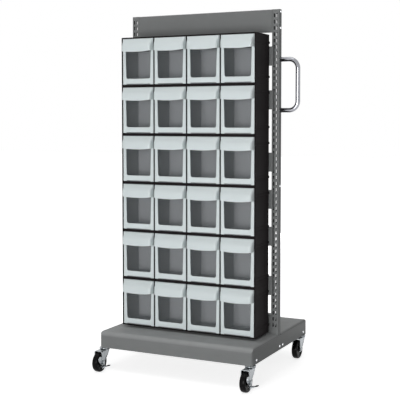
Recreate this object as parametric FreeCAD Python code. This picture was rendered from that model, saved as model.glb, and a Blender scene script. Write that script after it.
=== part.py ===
# Mobile bin cart: a rolling stand with slotted uprights that carries stacked tip-out bins.
# Millimetres. Z is up, X runs along the front, Y runs away from the person who opens the bins.
# Everything is drawn from the plane of the bin fronts and moved when it is written, so that
# the origin lies on the floor under the middle of the base.
import FreeCAD, Part
import math
import os

Vector = FreeCAD.Vector

# Small round pieces repeat many times, so they are drawn as bars with this many sides
peg_sides = 4
head_sides = 6
shank_sides = 4
stem_sides = 6
axle_sides = 6
race_sides = 10
wheel_sides = 24
dish_sides = 12
handle_sides = 10
roll_steps = 3

# Cutters run this far past the faces that they cut
cut_past = 1.0

# Bin units: a black housing with tip-out bins side by side
unit_count = 6
bins_per_unit = 4
unit_width = 604.0
unit_height = 200.0
unit_depth = 136.0
housing_wall = 3.0
rim_depth = 10.0
rim_height = 5.3
rim_between_bins = 5.0
rim_at_ends = 5.7
seam_chamfer = 1.2
stack_bottom = 168.0
lug_reach = 3.0
lug_size = 9.0
lug_inset = 32.0

# One tip-out bin: front with pull, clear pane, tub
front_side_gap = 0.7
front_top_gap = 0.7
front_bottom_gap = 0.7
front_thickness = 4.0
foot_width = 14.0
foot_height = 3.0
window_rail = 21.0
window_height = 114.0
window_bottom_width = 113.0
window_top_width = 119.0
pane_thickness = 1.5
pane_overlap = 3.0
hood_reach = 21.6
hood_height_middle = 62.0
hood_height_ends = 56.0
hood_taper = 3.7
hood_wall = 2.2
hood_shoulder = (19.0, 27.0)
hood_seat = 1.0
hood_lip_level = 71.5
tub_wall = 2.0
tub_side_gap = 0.8
tub_back_gap = 9.5
tub_arc_gap = 6.7
tub_arc_steps = 2
stop_gap = 1.2
peg_radius = 1.8
peg_reach = 2.2
peg_rise = 4.0
peg_gap = 0.1

# Uprights: square-edged tubes with two columns of hanging slots in front
upright_width = 32.0
upright_depth = 26.0
upright_wall = 1.5
upright_top = 1470.0
upright_foot = 97.0
upright_joint = 784.0
splice_length = 80.0
splice_width = 18.0
splice_thickness = 3.0
slot_width = 5.0
slot_height = 16.0
slot_pitch = 25.0
slot_rows = 51
slot_spacing = 12.0
slot_top_inset = 24.0

# Sheet parts between the uprights
panel_sheet = 1.5
header_height = 90.0
cross_height = 78.0
rail_depth = 17.0
rail_height = 76.0
rail_slot_rows = (6, 14, 20, 26, 36, 43)
hook_thickness = 2.5
hook_height = 12.5
hook_drop = 3.0

# Rolling base
stand_width = 680.0
deck_front = -118.0
deck_depth = 605.0
deck_top = 160.0
skirt_bottom = 93.0
deck_sheet = 1.5
front_roll = 16.0
end_roll = 9.0
corner_roll = 10.0
end_plate_setback = 15.0
upright_notch_gap = 0.5
channel_width = 57.0
channel_height = 30.0
channel_sheet = 2.5
crossbar_depth = 40.0

# Handle
handle_tube = 19.0
handle_span = 203.0
handle_reach = 74.5
handle_bend = 36.0
handle_bend_steps = 4
handle_middle = 1168.5

# Screws
head_radius = 5.0
head_height = 2.6
shank_radius = 2.5
shank_gap = 0.1
screw_length = 8.0
header_screw_insets = (9.0, 74.0)
splice_screw_drop = 22.0
end_screw_rise = 15.5
end_screw_inset = 40.5

# Casters
caster_side_inset = 14.0
caster_front_inset = 14.0
caster_rear_inset = 35.0
caster_trail = 42.0
caster_plate_radius = 22.0
caster_plate_sheet = 3.0
race_radius = 18.0
race_height = 2.7
race_gap = 0.3
stem_radius = 4.0
stem_gap = 0.08
stem_head_radius = 6.5
stem_head_height = 3.0
nut_height = 6.0
wheel_radius = 40.0
wheel_width = 24.0
tyre_shoulder = 4.0
tyre_height = 11.0
dish_depth = 4.0
wheel_side_gap = 1.5
fork_sheet = 2.5
crown_radius = 21.0
fork_foot_radius = 9.0
fork_rear_reach = 6.0
fork_rear_drop = 7.5
axle_radius = 4.0
axle_gap = 0.08
axle_head_radius = 7.0
axle_head_height = 4.0
brake_sheet = 2.0
brake_gap = 0.3
brake_disc_radius = 12.0
brake_cam_rise = 24.0
brake_cam_top = 8.0
brake_bend = 4.0
brake_tab_drop = 12.0
brake_tab_reach = 37.0
brake_tab_lift = 5.0
brake_tab_root = 24.0
brake_tab_tip = 13.0
brake_tab_forward = 6.0
sleeve_length = 11.0
sleeve_width = 17.8
sleeve_wall = 1.2

# Places worked out from the sizes above
half_stand = stand_width / 2
deck_back = deck_front + deck_depth
origin_depth = deck_front + deck_depth / 2
upright_outer = half_stand - deck_sheet
upright_inner = upright_outer - upright_width
upright_front = unit_depth + rail_depth
upright_back = upright_front + upright_depth
upright_middle = (upright_front + upright_back) / 2
slot_columns = [(upright_inner + upright_outer + side * slot_spacing) / 2 for side in (-1, 1)]
slot_top_row = upright_top - slot_top_inset
slot_bottom_row = slot_top_row - (slot_rows - 1) * slot_pitch
opening_width = (unit_width - 2 * rim_at_ends - (bins_per_unit - 1) * rim_between_bins) / bins_per_unit
bin_pitch = opening_width + rim_between_bins
front_width = opening_width - 2 * front_side_gap
front_bottom = rim_height + front_bottom_gap
front_top = unit_height - rim_height - front_top_gap
rail_bottom = front_bottom + foot_height
window_bottom = rail_bottom + window_rail
window_top = window_bottom + window_height
pivot_depth = front_thickness / 2
pivot_rise = front_bottom + peg_rise
tub_half = front_width / 2 - tub_side_gap
tub_back = unit_depth - housing_wall - tub_back_gap
tub_floor = rim_height
tub_arc = unit_height - rim_height - pivot_rise - tub_arc_gap
stop_arc = unit_height - housing_wall - pivot_rise - stop_gap
plate_bottom = skirt_bottom - caster_plate_sheet
race_bottom = plate_bottom - race_height
crown_top = race_bottom - race_gap
crown_bottom = crown_top - fork_sheet
leg_inner = wheel_width / 2 + wheel_side_gap
leg_outer = leg_inner + fork_sheet


def box(x0, x1, y0, y1, z0, z1):
    """A block between two corners."""
    return Part.makeBox(x1 - x0, y1 - y0, z1 - z0, Vector(x0, y0, z0))


def polygon_face(points):
    """A flat face through 3-D points."""
    return Part.Face(Part.makePolygon([Vector(*point) for point in points + points[:1]]))


def prism_x(outline, x0, x1):
    """A (y, z) outline pushed from x0 to x1."""
    return polygon_face([(x0, y, z) for y, z in outline]).extrude(Vector(x1 - x0, 0, 0))


def prism_y(outline, y0, y1):
    """An (x, z) outline pushed from y0 to y1."""
    return polygon_face([(x, y0, z) for x, z in outline]).extrude(Vector(0, y1 - y0, 0))


def prism_z(outline, z0, z1):
    """An (x, y) outline pushed from z0 to z1."""
    return polygon_face([(x, y, z0) for x, y in outline]).extrude(Vector(0, 0, z1 - z0))


def ring_points(centre, along, radius, sides):
    """Corners of a regular outline square to a direction; the flats touch the radius."""
    side = Vector(0, 0, 1) if abs(along.z) < 0.5 else Vector(0, 1, 0)
    other = along.cross(side)
    corner = radius / math.cos(math.pi / sides)
    points = []
    for index in range(sides):
        angle = 2 * math.pi * (index + 0.5) / sides
        points.append(centre + side * corner * math.cos(angle) + other * corner * math.sin(angle))
    return points


def bar(start, direction, length, radius, sides):
    """A bar with a regular section, measured across its flats."""
    along = Vector(*direction)
    points = ring_points(Vector(*start), along, radius, sides)
    return Part.Face(Part.makePolygon(points + points[:1])).extrude(along * length)


def flat_sided(sections):
    """A solid with flat sides through outlines of as many points each."""
    faces = [Part.Face(Part.makePolygon(points + points[:1])) for points in (sections[0], sections[-1])]
    for first, second in zip(sections, sections[1:]):
        for index in range(len(first)):
            after = (index + 1) % len(first)
            for corners in ((first[index], first[after], second[after]),
                            (first[index], second[after], second[index])):
                faces.append(Part.Face(Part.makePolygon(corners + corners[:1])))
    solid = Part.Solid(Part.Shell(faces)).removeSplitter()
    if solid.Volume < 0:
        solid.reverse()
    return solid


def moved(shape, x, y, z):
    """A copy of a piece in another place."""
    copy = shape.copy()
    copy.translate(Vector(x, y, z))
    return copy


def on_both_sides(shape):
    """A piece on the right and its mirror image on the left."""
    return [shape, shape.mirror(Vector(0, 0, 0), Vector(1, 0, 0))]


def tray(outline, z0, z1, sheet):
    """A sheet pan from an (x, y) outline, open at the top."""
    outer = prism_z(outline, z0, z1)
    face = polygon_face([(x, y, z0 + sheet) for x, y in outline]).makeOffset2D(-sheet, join=2)
    return outer.cut(face.extrude(Vector(0, 0, z1 - z0)))


def screw(seat, direction, length):
    """A pan-head screw whose head sits on a surface."""
    x, y, z = direction
    head = bar(seat, (-x, -y, -z), head_height, head_radius, head_sides)
    return head.fuse(bar(seat, direction, length, shank_radius, shank_sides)).removeSplitter()


def screw_hole(seat, direction, length):
    """The hole for such a screw, a little past both faces."""
    start = Vector(*seat) - Vector(*direction) * cut_past
    return bar((start.x, start.y, start.z), direction, length + 2 * cut_past,
               shank_radius + shank_gap, shank_sides)


def bin_middle(column):
    """X of the middle of a bin, columns counted from the left."""
    return (column - (bins_per_unit - 1) / 2) * bin_pitch


def hood():
    """The pull along the top of a front: a tapered shell, open below, with a bowed lower lip."""
    half = front_width / 2
    level = hood_lip_level / 2
    low = front_top - hood_height_middle - cut_past

    def shell(inset, back):
        """The pull's outside, or its hollow, which starts further back."""
        shoulder_y, shoulder_drop = hood_shoulder
        slopes = [(back, front_top - inset), (inset - shoulder_y, front_top - shoulder_drop - inset),
                  (inset - hood_reach, low), (back, low)]
        reach = hood_reach - inset
        plan = [(inset - half, back), (inset - half, 0), (hood_taper + inset - half, -reach),
                (half - hood_taper - inset, -reach), (half - inset, 0), (half - inset, back)]
        return prism_x(slopes, -half, half).common(prism_z(plan, low, front_top))

    middle = front_top - hood_height_middle
    ends = front_top - hood_height_ends
    under_lip = prism_y([(-half, ends), (-half, low - cut_past), (half, low - cut_past), (half, ends),
                         (level, middle), (-level, middle)], -hood_reach - cut_past, hood_seat)
    return shell(0, hood_seat).cut([shell(hood_wall, hood_seat + cut_past), under_lip])


def bin_front():
    """White front of a bin: plate with a tapered window, feet, pull and pivot pegs."""
    half = front_width / 2
    plate = prism_y([(-half, front_bottom), (foot_width - half, front_bottom),
                     (foot_width - half, rail_bottom), (half - foot_width, rail_bottom),
                     (half - foot_width, front_bottom), (half, front_bottom), (half, front_top),
                     (-half, front_top)], 0, front_thickness)
    window = prism_y([(-window_bottom_width / 2, window_bottom), (window_bottom_width / 2, window_bottom),
                      (window_top_width / 2, window_top), (-window_top_width / 2, window_top)],
                     -cut_past, front_thickness + cut_past)
    pegs = [bar((side * half, pivot_depth, pivot_rise), (side, 0, 0), peg_reach,
                peg_radius * math.cos(math.pi / peg_sides), peg_sides) for side in (-1, 1)]
    return plate.cut(window).fuse([hood()] + pegs).removeSplitter()


def bin_pane():
    """Clear pane clipped behind the window."""
    half = window_top_width / 2 + pane_overlap
    return box(-half, half, front_thickness, front_thickness + pane_thickness,
               window_bottom - pane_overlap, window_top + pane_overlap)


def rise_on_arc(radius, depth):
    """Height of a circle about the pivot at some depth."""
    return pivot_rise + math.sqrt(radius ** 2 - (depth - pivot_depth) ** 2)


def bin_tub():
    """Tub behind a front: its sides end on an arc about the pivot, so it swings clear.

    The back wall stands higher than the sides. Its top meets the rim of the housing and stops
    the bin when it has tipped out.
    """
    front = front_thickness
    depths = [front + (tub_back - front) * step / tub_arc_steps for step in range(tub_arc_steps + 1)]
    side = [(front, tub_floor)] + [(depth, rise_on_arc(tub_arc, depth)) for depth in depths] \
        + [(tub_back, tub_floor)]
    outer = prism_x(side, -tub_half, tub_half)
    hollow = box(tub_wall - tub_half, tub_half - tub_wall, front - cut_past, tub_back - tub_wall,
                 tub_floor + tub_wall, front_top)
    stop_front = tub_back - tub_wall
    stop = prism_x([(stop_front, tub_floor), (stop_front, rise_on_arc(stop_arc, stop_front)),
                    (tub_back, rise_on_arc(stop_arc, tub_back)), (tub_back, tub_floor)],
                   -tub_half, tub_half)
    return outer.cut(hollow).fuse(stop).removeSplitter()


def tip_out_bin():
    """Front, pane and tub are moulded apart and clip together."""
    return [bin_front(), bin_pane(), bin_tub()]


def housing():
    """Black housing: a shell with a rim round each bin and thin walls behind the rim."""
    half = unit_width / 2
    shell = box(-half, half, 0, unit_depth, 0, unit_height)
    seams = [edge for edge in shell.Edges
             if abs(edge.Vertexes[0].Y - edge.Vertexes[1].Y) > unit_depth / 2]
    shell = shell.makeChamfer(seam_chamfer, seams)
    cuts = []
    socket = peg_radius + peg_gap
    thin = (rim_between_bins - housing_wall) / 2
    for column in range(bins_per_unit):
        middle = bin_middle(column)
        left = middle - opening_width / 2
        right = middle + opening_width / 2
        cell_left = housing_wall - half if column == 0 else left - thin
        cell_right = half - housing_wall if column == bins_per_unit - 1 else right + thin
        cuts.append(box(left, right, -cut_past, rim_depth + cut_past, rim_height,
                        unit_height - rim_height))
        cuts.append(box(cell_left, cell_right, rim_depth, unit_depth - housing_wall,
                        housing_wall, unit_height - housing_wall))
    # One slot along the sill takes the pivot pegs of all the bins, through the walls between them
    reach = bin_middle(bins_per_unit - 1) + front_width / 2 + peg_reach + peg_gap
    cuts.append(box(-reach, reach, pivot_depth - socket, pivot_depth + socket,
                    pivot_rise - socket, pivot_rise + socket))
    lugs = []
    for z in (lug_inset, unit_height - lug_inset):
        lug = box(half - housing_wall, half + lug_reach, unit_depth - lug_size, unit_depth,
                  z - lug_size / 2, z + lug_size / 2)
        lugs += on_both_sides(lug)
    return shell.cut(cuts).fuse(lugs).removeSplitter()


def slot_cutters(z0, z1):
    """Slots in the front of the right upright whose middles lie between two heights."""
    slots = []
    for row in range(slot_rows):
        z = slot_bottom_row + row * slot_pitch
        if z0 <= z <= z1:
            for x in slot_columns:
                slots.append(box(x - slot_width / 2, x + slot_width / 2, upright_front - cut_past,
                                 upright_middle, z - slot_height / 2, z + slot_height / 2))
    return slots


def upright_tube(z0, z1):
    """A length of the right upright, slotted through its front."""
    outer = box(upright_inner, upright_outer, upright_front, upright_back, z0, z1)
    inner = box(upright_inner + upright_wall, upright_outer - upright_wall,
                upright_front + upright_wall, upright_back - upright_wall,
                z0 - cut_past, z1 + cut_past)
    holes = [screw_hole(*place) for place in outer_screws() + end_screws() if z0 < place[0][2] < z1]
    return outer.cut([inner] + slot_cutters(z0, z1) + holes)


def splice_straps():
    """Two straps inside the tube bridge the joint between its lengths."""
    z0 = upright_joint - splice_length / 2
    z1 = upright_joint + splice_length / 2
    y0 = upright_middle - splice_width / 2
    y1 = upright_middle + splice_width / 2
    outer_wall = upright_outer - upright_wall
    inner_wall = upright_inner + upright_wall
    outer_strap = box(outer_wall - splice_thickness, outer_wall, y0, y1, z0, z1)
    inner_strap = box(inner_wall, inner_wall + splice_thickness, y0, y1, z0, z1)
    return [outer_strap.cut([screw_hole(*place) for place in outer_screws()]), inner_strap]


def upright():
    """Right upright: two lengths of slotted tube and the straps that join them."""
    return [upright_tube(upright_foot, upright_joint), upright_tube(upright_joint, upright_top)] \
        + splice_straps()


def outer_screws():
    """Screws in the outer face of the right upright: seat, direction, length."""
    through = upright_width + screw_length - 2 * upright_wall
    places = [((upright_outer, upright_middle, upright_top - inset), (-1, 0, 0), through)
              for inset in header_screw_insets]
    places.append(((upright_outer, upright_middle, upright_joint - splice_screw_drop), (-1, 0, 0),
                   screw_length))
    return places


def end_screws():
    """Screws in the right end plate: they hold the channels, the upright and the crossbar."""
    z = skirt_bottom + end_screw_rise
    depths = [deck_front + end_screw_inset, upright_middle, upright_back + crossbar_depth / 2,
              deck_back - end_screw_inset]
    return [((half_stand, y, z), (-1, 0, 0), screw_length) for y in depths]


def frame_screws():
    """All screws of the stand, one solid each."""
    solids = []
    for place in outer_screws() + end_screws():
        solids += on_both_sides(screw(*place))
    return solids


def cross_panel(z0, z1):
    """A sheet panel between the uprights, flush with their fronts, with flanges all round."""
    x = upright_inner
    panel = box(-x, x, upright_front, upright_back, z0, z1)
    hollow = box(panel_sheet - x, x - panel_sheet, upright_front + panel_sheet, upright_back + cut_past,
                 z0 + panel_sheet, z1 - panel_sheet)
    holes = []
    for place in outer_screws():
        if z0 < place[0][2] < z1:
            holes += on_both_sides(screw_hole(*place))
    return panel.cut([hollow] + holes)


def hanging_rail(slot_row):
    """A shallow sheet pan that hooks into the inner slots of both uprights, above its middle."""
    middle = slot_bottom_row + (slot_row + 0.5) * slot_pitch
    half = slot_columns[0] + hook_thickness / 2
    z0 = middle - rail_height / 2
    z1 = middle + rail_height / 2
    pan = box(-half, half, unit_depth, upright_front, z0, z1)
    hollow = box(hook_thickness - half, half - hook_thickness, unit_depth + panel_sheet,
                 upright_front + cut_past, z0 + panel_sheet, z1 - panel_sheet)
    inside = upright_front + upright_wall
    seat = middle + (slot_pitch - slot_height) / 2
    tip = inside + hook_thickness
    hook = prism_x([(upright_front, seat), (inside, seat), (inside, seat - hook_drop),
                    (tip, seat - hook_drop), (tip, seat + hook_height),
                    (upright_front, seat + hook_height)],
                   half - hook_thickness, half)
    return pan.cut(hollow).fuse(on_both_sides(hook)).removeSplitter()


def rolled_corner(x, y, towards_x, towards_y, radius):
    """Points of a rounded corner of an outline, from one side round to the other."""
    points = []
    for step in range(roll_steps + 1):
        turn = math.pi / 2 * step / roll_steps
        points.append((x + towards_x * radius * (1 - math.cos(turn)),
                       y + towards_y * radius * (1 - math.sin(turn))))
    return points


def rolled_block(inset):
    """The outside of the deck, or its inside by the thickness of the sheet."""
    x = half_stand - inset
    y0 = deck_front + inset
    y1 = deck_back - inset
    z0 = skirt_bottom
    z1 = deck_top - inset
    side = front_roll - inset
    end = end_roll - inset
    corner = corner_roll - inset
    front_and_back = prism_x([(y0, z0)] + rolled_corner(y0, z1, 1, -1, side)
                             + rolled_corner(y1, z1, -1, -1, side)[::-1] + [(y1, z0)], -x, x)
    ends = prism_y([(-x, z0)] + rolled_corner(-x, z1, 1, -1, end)
                   + rolled_corner(x, z1, -1, -1, end)[::-1] + [(x, z0)], y0, y1)
    plan = rolled_corner(-x, y0, 1, 1, corner) + rolled_corner(x, y0, -1, 1, corner)[::-1] \
        + rolled_corner(x, y1, -1, -1, corner) + rolled_corner(-x, y1, 1, -1, corner)[::-1]
    return front_and_back.common(ends).common(prism_z(plan, z0, z1))


def end_plate_outline():
    """The (y, z) outline of an end plate, inside the rolled edges of the cover."""
    y0 = deck_front + end_plate_setback
    y1 = deck_back - end_plate_setback
    z1 = deck_top - end_roll
    return [(y0, skirt_bottom), (y1, skirt_bottom), (y1, z1), (y0, z1)]


def base_cover():
    """Formed cover of the base: flat top, rolled edges and skirts, open at the end plates."""
    windows = on_both_sides(prism_x(end_plate_outline(), upright_outer - cut_past,
                                    half_stand + cut_past))
    gap = upright_notch_gap
    notches = on_both_sides(box(upright_inner - gap, half_stand + cut_past, upright_front - gap,
                                upright_back + gap, skirt_bottom + cut_past, deck_top + cut_past))
    return rolled_block(0).cut([rolled_block(deck_sheet)] + windows + notches)


def base_end():
    """Right end plate of the base."""
    plate = prism_x(end_plate_outline(), half_stand - deck_sheet, half_stand)
    return plate.cut([screw_hole(*place) for place in end_screws()])


def channel_outline(y_outer, y_inner):
    """A channel across the base, with its outer corners cut to clear the rolled cover."""
    x = half_stand - deck_sheet
    step = math.copysign(corner_roll, y_inner - y_outer)
    return [(-x, y_inner), (-x, y_outer + step), (corner_roll - x, y_outer), (x - corner_roll, y_outer),
            (x, y_outer + step), (x, y_inner)]


def base_channel(y_outer, y_inner):
    """Channel that carries two casters and ties the end plates together."""
    pan = tray(channel_outline(y_outer, y_inner), skirt_bottom, skirt_bottom + channel_height,
               channel_sheet)
    cuts = []
    for x, y in caster_places():
        if min(y_outer, y_inner) < y < max(y_outer, y_inner):
            cuts.append(bar((x, y, skirt_bottom - cut_past), (0, 0, 1), channel_sheet + 2 * cut_past,
                            stem_radius, stem_sides))
    for place in end_screws():
        if min(y_outer, y_inner) < place[0][1] < max(y_outer, y_inner):
            cuts += on_both_sides(screw_hole(*place))
    return pan.cut(cuts)


def base_crossbar():
    """Channel behind the feet of the uprights, which are welded to it.

    It is open below, and its top corners are cut to clear the rolled ends of the cover.
    """
    y0 = upright_back
    y1 = upright_back + crossbar_depth

    def profile(inset, bottom):
        x = half_stand - deck_sheet - inset
        top = deck_top - deck_sheet - inset
        return [(-x, bottom), (-x, top - end_roll), (end_roll - x, top), (x - end_roll, top),
                (x, top - end_roll), (x, bottom)]

    pan = prism_y(profile(0, upright_foot), y0, y1).cut(
        prism_y(profile(channel_sheet, upright_foot - cut_past), y0 + channel_sheet, y1 - channel_sheet))
    holes = []
    for place in end_screws():
        if y0 < place[0][1] < y1:
            holes += on_both_sides(screw_hole(*place))
    return pan.cut(holes)


def handle():
    """Bent tube on the right upright: two legs and an upright grip."""
    half = handle_span / 2
    centre_x = upright_outer + handle_reach - handle_bend

    def section(x, z, turn):
        """An outline square to the path, whose direction has turned up from +X."""
        across = Vector(0, 1, 0)
        other = Vector(-math.sin(turn), 0, math.cos(turn))
        corner = handle_tube / 2 / math.cos(math.pi / handle_sides)
        points = []
        for index in range(handle_sides):
            angle = 2 * math.pi * (index + 0.5) / handle_sides
            points.append(Vector(x, upright_middle, z) + across * corner * math.cos(angle)
                          + other * corner * math.sin(angle))
        return points

    sections = [section(upright_outer, handle_middle - half, 0)]
    for end in (-1, 1):
        centre_z = handle_middle + end * (half - handle_bend)
        for step in range(handle_bend_steps + 1):
            turn = math.pi / 2 * (step / handle_bend_steps + (end > 0))
            sections.append(section(centre_x + handle_bend * math.sin(turn),
                                    centre_z - handle_bend * math.cos(turn), turn))
    sections.append(section(upright_outer, handle_middle + half, math.pi))
    return flat_sided(sections)


def caster_places():
    """Swivel axes: front left, front right, rear left, rear right."""
    x = half_stand - caster_side_inset
    return [(-x, deck_front + caster_front_inset), (x, deck_front + caster_front_inset),
            (-x, deck_back - caster_rear_inset), (x, deck_back - caster_rear_inset)]


def caster_plate():
    """Round top plate with the fixed half of the swivel race, about its swivel axis."""
    plate = bar((0, 0, plate_bottom), (0, 0, 1), caster_plate_sheet, caster_plate_radius, race_sides)
    race = bar((0, 0, race_bottom), (0, 0, 1), race_height, race_radius, race_sides)
    hole = bar((0, 0, race_bottom - cut_past), (0, 0, 1),
               caster_plate_sheet + race_height + 2 * cut_past, stem_radius, stem_sides)
    return plate.fuse(race).cut(hole).removeSplitter()


def caster_bolt():
    """Swivel bolt: head below the crown, stem up through the plate, nut in the channel."""
    head_top = crown_bottom - race_gap
    nut_bottom = skirt_bottom + channel_sheet
    head = bar((0, 0, head_top - stem_head_height), (0, 0, 1), stem_head_height, stem_head_radius,
               head_sides)
    stem = bar((0, 0, head_top), (0, 0, 1), nut_bottom - head_top, stem_radius, stem_sides)
    nut = bar((0, 0, nut_bottom), (0, 0, 1), nut_height, stem_head_radius, head_sides)
    return head.fuse([stem, nut]).removeSplitter()


def caster_fork():
    """Pressed fork about its swivel axis, with the wheel trailing towards the front."""
    axle_y = -caster_trail
    foot = fork_foot_radius
    rear = fork_rear_reach
    low = foot / 2
    crown = bar((0, 0, crown_bottom), (0, 0, 1), fork_sheet, crown_radius, race_sides).fuse(
        box(-leg_outer, leg_outer, axle_y - foot, rear, crown_bottom, crown_top))
    leg = prism_x([(axle_y - foot, crown_top), (axle_y - foot, wheel_radius),
                   (axle_y - low, wheel_radius - foot), (axle_y + low, wheel_radius - foot),
                   (axle_y + foot, wheel_radius), (rear, crown_bottom - fork_rear_drop), (rear, crown_top)],
                  leg_inner, leg_outer)
    hole = bar((0, 0, crown_bottom - cut_past), (0, 0, 1), fork_sheet + 2 * cut_past,
               stem_radius / math.cos(math.pi / stem_sides) + stem_gap, stem_sides)
    axle_hole = bar((-leg_outer - cut_past, axle_y, wheel_radius), (1, 0, 0),
                    2 * (leg_outer + cut_past), axle_radius, axle_sides)
    return crown.fuse(on_both_sides(leg)).cut([hole, axle_hole]).removeSplitter()


def caster_axle(reach):
    """Axle bolt: nut on the left leg, head on the right, past a brake where there is one."""
    axle_y = -caster_trail
    start = -leg_outer
    end = leg_outer + reach
    shaft = bar((start, axle_y, wheel_radius), (1, 0, 0), end - start, axle_radius, axle_sides)
    head = bar((end, axle_y, wheel_radius), (1, 0, 0), axle_head_height, axle_head_radius, head_sides)
    nut = bar((start, axle_y, wheel_radius), (-1, 0, 0), axle_head_height, axle_head_radius, head_sides)
    return shaft.fuse([head, nut]).removeSplitter()


def caster_wheel():
    """Dished wheel turned about its axle, with chamfered tyre shoulders."""
    half = wheel_width / 2
    along = Vector(1, 0, 0)

    def section(x, radius, sides):
        return ring_points(Vector(x, -caster_trail, wheel_radius), along, radius, sides)

    rim = wheel_radius * math.cos(math.pi / wheel_sides)
    wheel = flat_sided([section(-half, rim - tyre_shoulder, wheel_sides),
                        section(tyre_shoulder - half, rim, wheel_sides),
                        section(half - tyre_shoulder, rim, wheel_sides),
                        section(half, rim - tyre_shoulder, wheel_sides)])
    dish_outer = wheel_radius - tyre_height
    cuts = []
    for side in (-1, 1):
        cuts.append(flat_sided([section(side * (half - dish_depth), dish_outer - dish_depth, dish_sides),
                                section(side * (half + cut_past), dish_outer, dish_sides)]))
    bore = axle_radius / math.cos(math.pi / axle_sides) + axle_gap
    cuts.append(bar((-half - cut_past, -caster_trail, wheel_radius), (1, 0, 0), 2 * (half + cut_past),
                    bore, axle_sides))
    return wheel.cut(cuts)


def brake_lever():
    """Stamped brake lever on the axle: a cam above, and a tab that flares outwards below."""
    x0 = leg_outer + brake_gap
    axle_y = -caster_trail
    z = wheel_radius
    drop = z - brake_tab_drop
    half = brake_disc_radius
    cam_top = z + brake_cam_rise
    plate = prism_x([(axle_y - half, drop), (axle_y - half, cam_top),
                     (axle_y - half + brake_cam_top, cam_top), (axle_y + half, z), (axle_y + half, drop)],
                    x0, x0 + brake_sheet)
    tip = x0 + brake_tab_reach
    bend = x0 + brake_bend
    sheet = prism_y([(x0 + brake_sheet, drop), (bend, drop - brake_sheet / 2),
                     (tip, drop + brake_tab_lift), (tip, drop + brake_tab_lift + brake_sheet),
                     (bend, drop + brake_sheet), (x0 + brake_sheet, drop + brake_bend)],
                    axle_y - brake_tab_root, axle_y + brake_tab_root)
    middle = axle_y - brake_tab_forward
    plan = prism_z([(x0, middle - brake_tab_root / 2), (tip, middle - brake_tab_tip / 2),
                    (tip, middle + brake_tab_tip / 2), (x0, middle + brake_tab_root / 2)], 0, 2 * z)
    bore = axle_radius / math.cos(math.pi / axle_sides) + axle_gap
    hole = bar((x0 - cut_past, axle_y, z), (1, 0, 0), brake_sheet + 2 * cut_past, bore, axle_sides)
    return plate.fuse(sheet.common(plan)).cut(hole).removeSplitter()


def brake_sleeve():
    """Black sleeve pushed over the end of the tab."""
    tip = leg_outer + brake_gap + brake_tab_reach
    middle = -caster_trail - brake_tab_forward
    z = wheel_radius - brake_tab_drop + brake_tab_lift
    half = sleeve_width / 2
    block = box(tip - sleeve_length, tip + sleeve_wall, middle - half, middle + half,
                z - brake_sheet - sleeve_wall, z + brake_sheet + sleeve_wall)
    return block.cut(brake_lever())


def write(name, solids):
    """One file for each sub-part, with the origin moved under the middle of the base."""
    shape = Part.makeCompound(solids)
    shape.translate(Vector(0, -origin_depth, 0))
    shape.exportStep("parts/" + name + ".step")


def write_pair(name, solids):
    """A right-hand sub-part and its mirror image on the left."""
    write(name + "_right", solids)
    write(name + "_left", [on_both_sides(solid)[1] for solid in solids])


def main():
    os.makedirs("parts", exist_ok=True)
    solids = tip_out_bin()
    for row in range(unit_count):
        z = stack_bottom + row * unit_height
        write("bin_housing_" + str(row + 1), [moved(housing(), 0, 0, z)])
        for column in range(bins_per_unit):
            write("bin_" + str(row + 1) + "_" + str(column + 1),
                  [moved(solid, bin_middle(column), 0, z) for solid in solids])
    for index, slot_row in enumerate(rail_slot_rows):
        write("hanging_rail_" + str(index + 1), [hanging_rail(slot_row)])
    write_pair("upright", upright())
    write_pair("base_end", [base_end()])
    write("header_panel", [cross_panel(upright_top - header_height, upright_top)])
    write("lower_crossmember", [cross_panel(deck_top, deck_top + cross_height)])
    write("base_cover", [base_cover()])
    front_web = deck_front + deck_sheet
    rear_web = deck_back - deck_sheet
    write("base_front_channel", [base_channel(front_web, front_web + channel_width)])
    write("base_rear_channel", [base_channel(rear_web, rear_web - channel_width)])
    write("base_crossbar", [base_crossbar()])
    write("handle", [handle()])
    write("frame_screws", frame_screws())
    write("caster_top_plates", [moved(caster_plate(), x, y, 0) for x, y in caster_places()])
    write("caster_bolts", [moved(caster_bolt(), x, y, 0) for x, y in caster_places()])
    for name, (x, y) in zip(("front_left", "front_right", "rear_left", "rear_right"), caster_places()):
        braked = name.startswith("front")
        reach = brake_sheet + 2 * brake_gap if braked else 0
        fork = [caster_fork(), caster_axle(reach)]
        brake = [brake_lever(), brake_sleeve()]
        write("caster_fork_" + name, [moved(solid, x, y, 0) for solid in fork])
        write("caster_wheel_" + name, [moved(caster_wheel(), x, y, 0)])
        if braked:
            write("caster_brake_" + name, [moved(solid, x, y, 0) for solid in brake])


main()
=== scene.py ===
# %% [markdown]
# # Dressing a mobile bin cart
# The cart is a rolling stand with six black housings, each with four tip-out bins. Its solids are
# already built and packed as a frame, so this lesson only gives them their finer shapes and their
# finishes. The frame comes first, because every piece made below rides on one of its bodies.

# %% Load the frame
import math
import bmesh
import bpy
from mathutils import Matrix, Vector


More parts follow.
